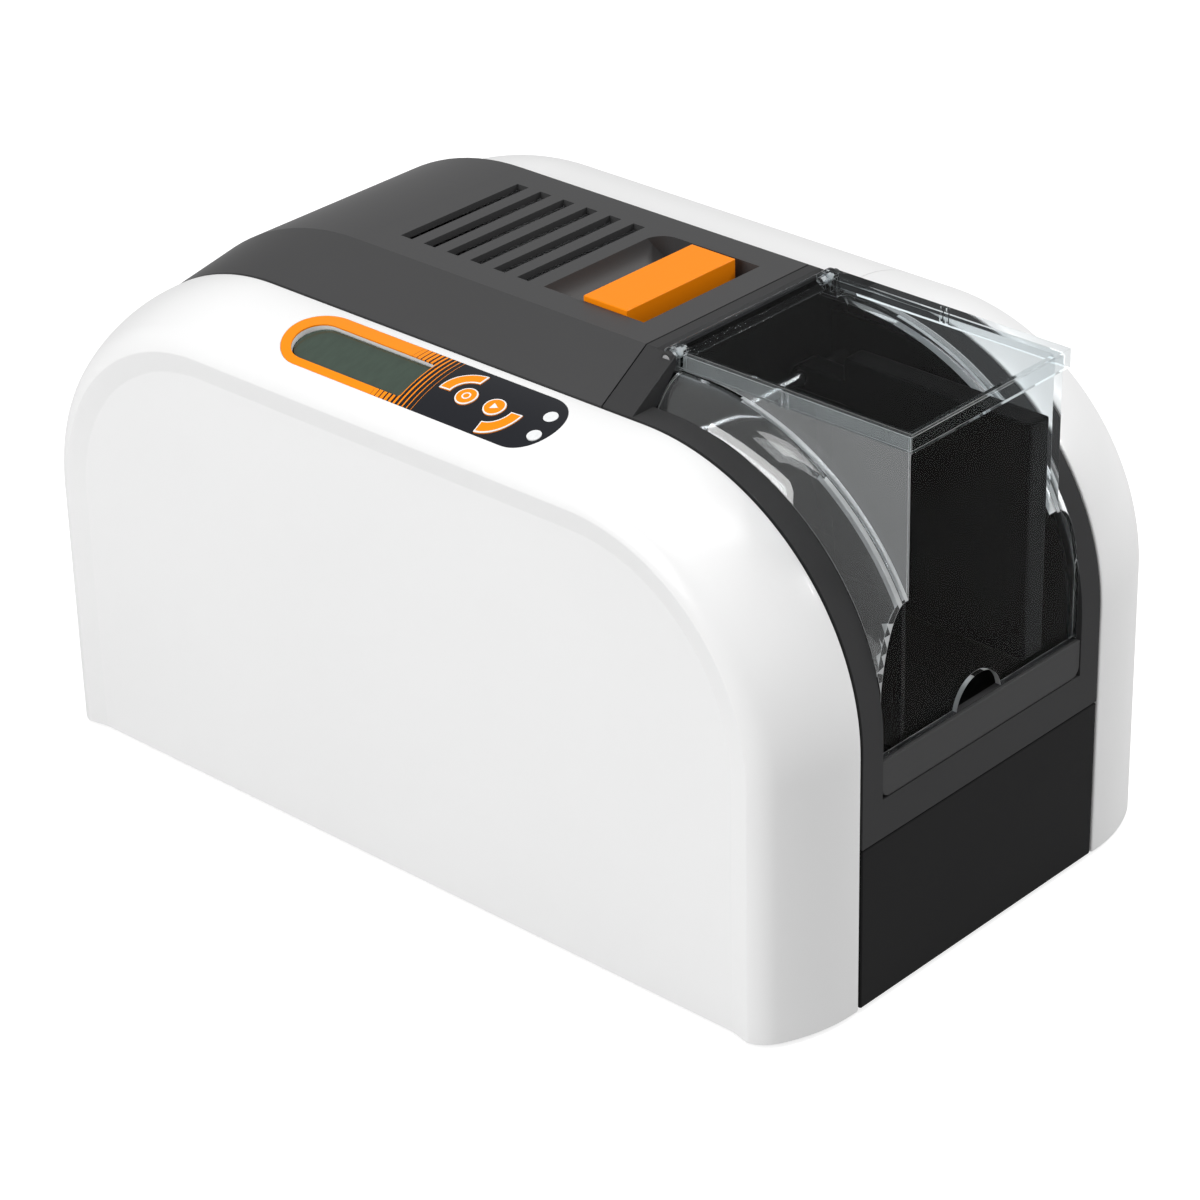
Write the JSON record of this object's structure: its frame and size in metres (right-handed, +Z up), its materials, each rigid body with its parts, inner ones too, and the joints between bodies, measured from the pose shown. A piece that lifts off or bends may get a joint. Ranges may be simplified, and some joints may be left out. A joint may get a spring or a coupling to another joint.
{
  "type": "id card printer",
  "caption": "Desktop card printer with arched side shells, hinged top cover, sliding latch, clear card hopper with hinged lid, control panel and roller feed",
  "frame": {"origin": "centre of the footprint, on the plane that the rubber feet stand on", "axes": "+X towards the card hopper, -Y the side with the control panel, +Z up"},
  "size_m": [0.36, 0.2088, 0.2083],
  "materials": {
    "white_shell": "satin moulded",
    "dark_casing": "fine texture",
    "black_plastic": "satin",
    "grey_lip": "satin",
    "latch_orange": "satin",
    "clear_plastic": "clear moulded",
    "overlay_film": "printed film",
    "key_orange": "printed orange key caps",
    "lcd_glass": "display",
    "lens": "milky white",
    "steel": "zinc plated",
    "roller_rubber": "ground",
    "pinion_brass": "machined",
    "head_metal": "extruded",
    "spool_plastic": "moulded",
    "ribbon": "thin film",
    "circuit_board": "solder mask"
  },
  "bodies": {
    "root": {"base_tray": "black_plastic", "feet": "roller_rubber", "near_shell": "white_shell", "far_shell": "white_shell", "far_shell_front": "white_shell", "rear_panel": "dark_casing", "front_panel": "black_plastic", "side_plate_near": "steel", "side_plate_far": "steel", "cover_hinge_pins": "steel", "latch_keeper": "steel", "hopper_frame": "dark_casing", "lip_plate": "grey_lip", "hopper_liner": "black_plastic", "lid_hinge_pins": "steel", "pusher_rods": "steel", "deck_plate": "steel", "motor_bracket": "steel", "roller_bridge": "steel", "card_rail": "black_plastic", "drive_belt": "roller_rubber", "feed_motor": "steel", "ribbon_motor": "steel", "ribbon_cassette": "black_plastic", "ribbon_film": "ribbon", "head_bracket": "steel", "panel_overlay": "overlay_film", "status_lights": "lens", "lcd_module": "lcd_glass", "control_board": "circuit_board", "main_board": "circuit_board", "fan_frame": "black_plastic", "rear_sockets": "black_plastic", "screws": "steel"},
    "cover": {"top_cover": "dark_casing"},
    "latch": {"latch_button": "latch_orange"},
    "clear_cover": {"hopper_cover": "clear_plastic"},
    "lid": {"hopper_lid": "clear_plastic"},
    "pusher": {"card_pusher": "black_plastic"},
    "platen": {"platen_roller": "roller_rubber", "platen_spindle": "steel"},
    "entry": {"entry_roller": "roller_rubber", "entry_spindle": "steel"},
    "exit": {"exit_roller": "roller_rubber", "exit_spindle": "steel"},
    "pick": {"pick_roller": "roller_rubber", "pick_spindle": "steel"},
    "pinch_entry": {"pinch_rollers_entry": "roller_rubber"},
    "pinch_exit": {"pinch_rollers_exit": "roller_rubber"},
    "feed_drive": {"feed_pinion": "pinion_brass"},
    "ribbon_drive": {"ribbon_pinion": "pinion_brass"},
    "takeup": {"takeup_spool": "spool_plastic"},
    "supply": {"supply_spool": "spool_plastic"},
    "head": {"print_head": "head_metal"},
    "key_1": {"key_arc_left": "key_orange"},
    "key_2": {"key_round_left": "key_orange"},
    "key_3": {"key_round_right": "key_orange"},
    "key_4": {"key_arc_right": "key_orange"},
    "fan": {"fan_rotor": "black_plastic"},
    "rocker": {"power_switch": "black_plastic"}
  },
  "joints": [
    {"name": "top_cover_hinge", "type": "hinge", "parent": "root", "child": "cover", "pos_m": [-0.14245, 0, 0.16264], "axis": [0, -1, 0], "range_deg": [0, 60]},
    {"name": "latch_slide", "type": "slide", "parent": "cover", "child": "latch", "axis": [1, 0, 0], "range_m": [0, 0.006], "stiffness_N_per_m": 300, "springref_m": -0.002},
    {"name": "hopper_cover_hinge", "type": "hinge", "parent": "root", "child": "clear_cover", "pos_m": [0.0786, 0, 0.2049], "axis": [0, -1, 0], "range_deg": [0, 35]},
    {"name": "hopper_lid_hinge", "type": "hinge", "parent": "clear_cover", "child": "lid", "pos_m": [0.0786, 0, 0.2049], "axis": [0, -1, 0], "range_deg": [0, 92]},
    {"name": "pusher_slide", "type": "slide", "parent": "root", "child": "pusher", "axis": [0, -1, 0], "range_m": [0, 0.058]},
    {"name": "platen_spin", "type": "hinge", "parent": "root", "child": "platen", "pos_m": [0, -0.045, 0.002], "axis": [0, 0, 1], "continuous": true},
    {"name": "entry_spin", "type": "hinge", "parent": "root", "child": "entry", "pos_m": [0.045, -0.045, 0.002], "axis": [0, 0, 1], "continuous": true},
    {"name": "exit_spin", "type": "hinge", "parent": "root", "child": "exit", "pos_m": [-0.09, -0.045, 0.002], "axis": [0, 0, 1], "continuous": true},
    {"name": "pick_spin", "type": "hinge", "parent": "root", "child": "pick", "pos_m": [0.09, -0.045, 0.002], "axis": [0, 0, 1], "continuous": true},
    {"name": "pinch_entry_spin", "type": "hinge", "parent": "root", "child": "pinch_entry", "pos_m": [0.045, -0.028, 0.002], "axis": [0, 0, 1], "continuous": true},
    {"name": "pinch_exit_spin", "type": "hinge", "parent": "root", "child": "pinch_exit", "pos_m": [-0.09, -0.028, 0.002], "axis": [0, 0, 1], "continuous": true},
    {"name": "feed_motor_spin", "type": "hinge", "parent": "root", "child": "feed_drive", "pos_m": [0, -0.027, 0.002], "axis": [0, 0, 1], "continuous": true},
    {"name": "takeup_spin", "type": "hinge", "parent": "root", "child": "takeup", "pos_m": [0.038, 0.008, 0.002], "axis": [0, 0, 1], "continuous": true},
    {"name": "ribbon_motor_spin", "type": "hinge", "parent": "root", "child": "ribbon_drive", "pos_m": [0.059, 0.008, 0.002], "axis": [0, 0, 1], "continuous": true},
    {"name": "supply_spin", "type": "hinge", "parent": "root", "child": "supply", "pos_m": [-0.038, 0.008, 0.002], "axis": [0, 0, 1], "continuous": true},
    {"name": "head_slide", "type": "slide", "parent": "root", "child": "head", "axis": [0, 1, 0], "range_m": [0, 0.003], "stiffness_N_per_m": 1500, "springref_m": -0.001},
    {"name": "key_arc_left_press", "type": "slide", "parent": "root", "child": "key_1", "axis": [0, 0.2587, -0.966], "range_m": [0, 0.0008], "stiffness_N_per_m": 400, "springref_m": -0.0006},
    {"name": "key_round_left_press", "type": "slide", "parent": "root", "child": "key_2", "axis": [0, 0.2587, -0.966], "range_m": [0, 0.0008], "stiffness_N_per_m": 400, "springref_m": -0.0006},
    {"name": "key_round_right_press", "type": "slide", "parent": "root", "child": "key_3", "axis": [0, 0.2587, -0.966], "range_m": [0, 0.0008], "stiffness_N_per_m": 400, "springref_m": -0.0006},
    {"name": "key_arc_right_press", "type": "slide", "parent": "root", "child": "key_4", "axis": [0, 0.2587, -0.966], "range_m": [0, 0.0008], "stiffness_N_per_m": 400, "springref_m": -0.0006},
    {"name": "fan_spin", "type": "hinge", "parent": "root", "child": "fan", "pos_m": [-0.1772, 0.028, 0.047], "axis": [1, 0, 0], "continuous": true},
    {"name": "power_rocker", "type": "hinge", "parent": "root", "child": "rocker", "pos_m": [-0.1738, -0.038, 0.047], "axis": [0, 1, 0], "range_deg": [0, 16]}
  ],
  "couplings": [
    {"joint": "entry_spin", "follows": "platen_spin", "ratio": 1},
    {"joint": "exit_spin", "follows": "platen_spin", "ratio": 1},
    {"joint": "pick_spin", "follows": "platen_spin", "ratio": 1},
    {"joint": "feed_motor_spin", "follows": "platen_spin", "ratio": -2},
    {"joint": "pinch_entry_spin", "follows": "platen_spin", "ratio": -1},
    {"joint": "pinch_exit_spin", "follows": "platen_spin", "ratio": -1},
    {"joint": "ribbon_motor_spin", "follows": "takeup_spin", "ratio": -2.5}
  ]
}
